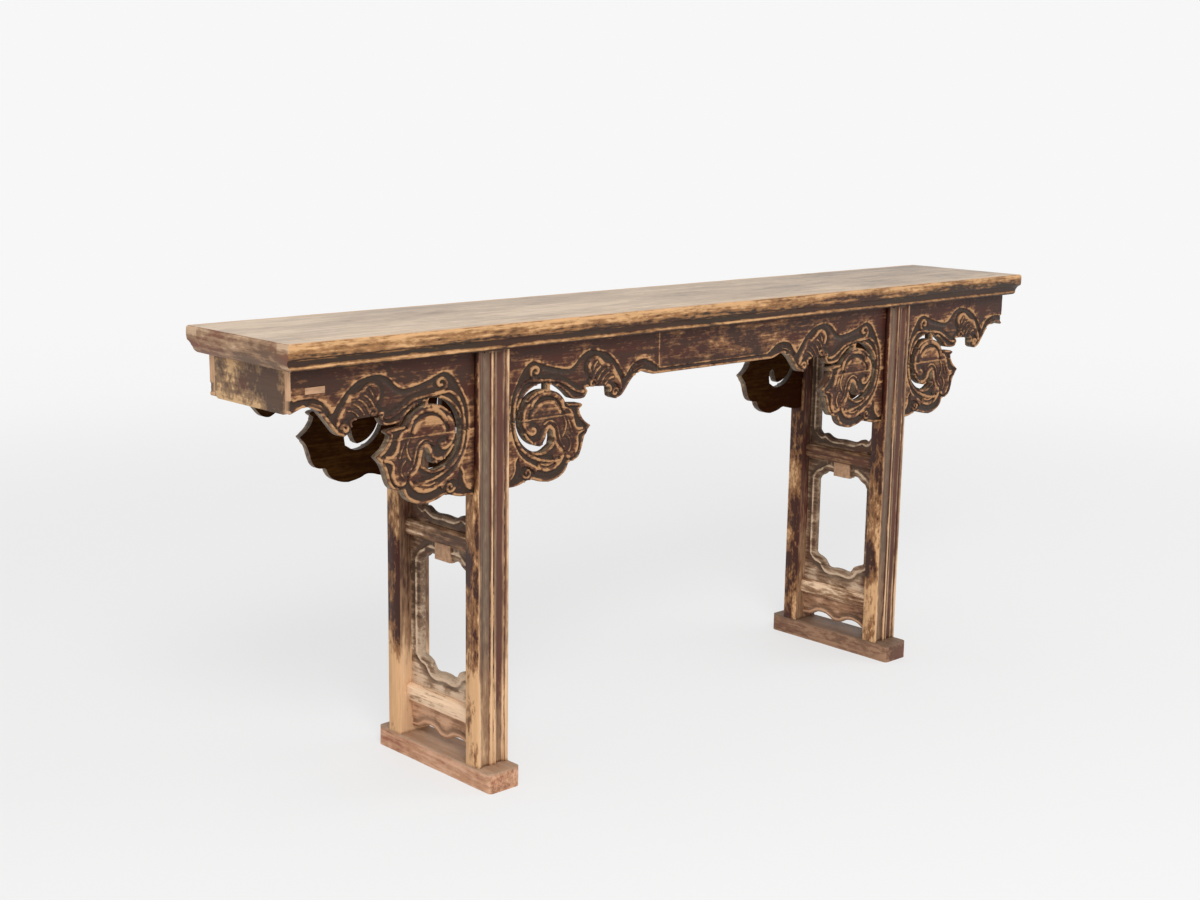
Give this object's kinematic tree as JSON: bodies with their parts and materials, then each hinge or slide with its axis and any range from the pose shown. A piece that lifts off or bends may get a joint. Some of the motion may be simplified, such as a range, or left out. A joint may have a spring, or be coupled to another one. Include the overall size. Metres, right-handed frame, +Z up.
{
  "type": "altar table",
  "caption": "Long narrow altar table: moulded top over carved openwork aprons, on framed trestle ends with block feet.",
  "frame": {"origin": "on the floor under the middle of the top", "axes": "+X along the length, -Y is the front, +Z up"},
  "size_m": [2.02, 0.34, 0.85],
  "materials": {
    "top_wood": "scrubbed, matt, lengthwise grain",
    "edge_wood": "honey wood worn through the lacquer, dark in the cove",
    "cap_wood": "worn cross-grain wood",
    "lacquer": "dark brown lacquer, rubbed to bare wood on raised edges",
    "leg_wood": "dark lacquer rubbed to pale wood towards the feet",
    "inner_wood": "very dark unpolished back faces",
    "end_board": "dark lacquer with large worn tan patches",
    "foot_wood": "reddish bare wood with worn corners",
    "lining": "dark lacquer with worn edges"
  },
  "bodies": {
    "root": {"top_front_stile": "edge_wood", "top_back_stile": "edge_wood", "top_left_cap": "cap_wood", "top_right_cap": "cap_wood", "top_panel": "top_wood", "batten_left_trestle": "inner_wood", "batten_left": "inner_wood", "batten_middle": "inner_wood", "batten_right": "inner_wood", "batten_right_trestle": "inner_wood", "apron_front_left": "lacquer", "apron_front_right": "lacquer", "apron_back": "lacquer", "spandrel_front_left": "lacquer", "spandrel_back_left": "lacquer", "spandrel_front_right": "lacquer", "spandrel_back_right": "lacquer", "end_board_left": "end_board", "end_board_right": "end_board", "left_leg_front": "leg_wood", "left_leg_back": "leg_wood", "left_foot": "foot_wood", "left_rail_lower": "lining", "left_rail_upper": "lining", "left_rail_head": "inner_wood", "left_lining_top": "lining", "left_lining_bottom": "lining", "left_upper_lining_bottom": "lining", "left_foot_apron": "lining", "left_lining_front": "lining", "left_upper_lining_front": "lining", "left_lining_back": "lining", "left_upper_lining_back": "lining", "right_leg_front": "leg_wood", "right_leg_back": "leg_wood", "right_foot": "foot_wood", "right_rail_lower": "lining", "right_rail_upper": "lining", "right_rail_head": "inner_wood", "right_lining_top": "lining", "right_lining_bottom": "lining", "right_upper_lining_bottom": "lining", "right_foot_apron": "lining", "right_lining_front": "lining", "right_upper_lining_front": "lining", "right_lining_back": "lining", "right_upper_lining_back": "lining"}
  },
  "joints": []
}
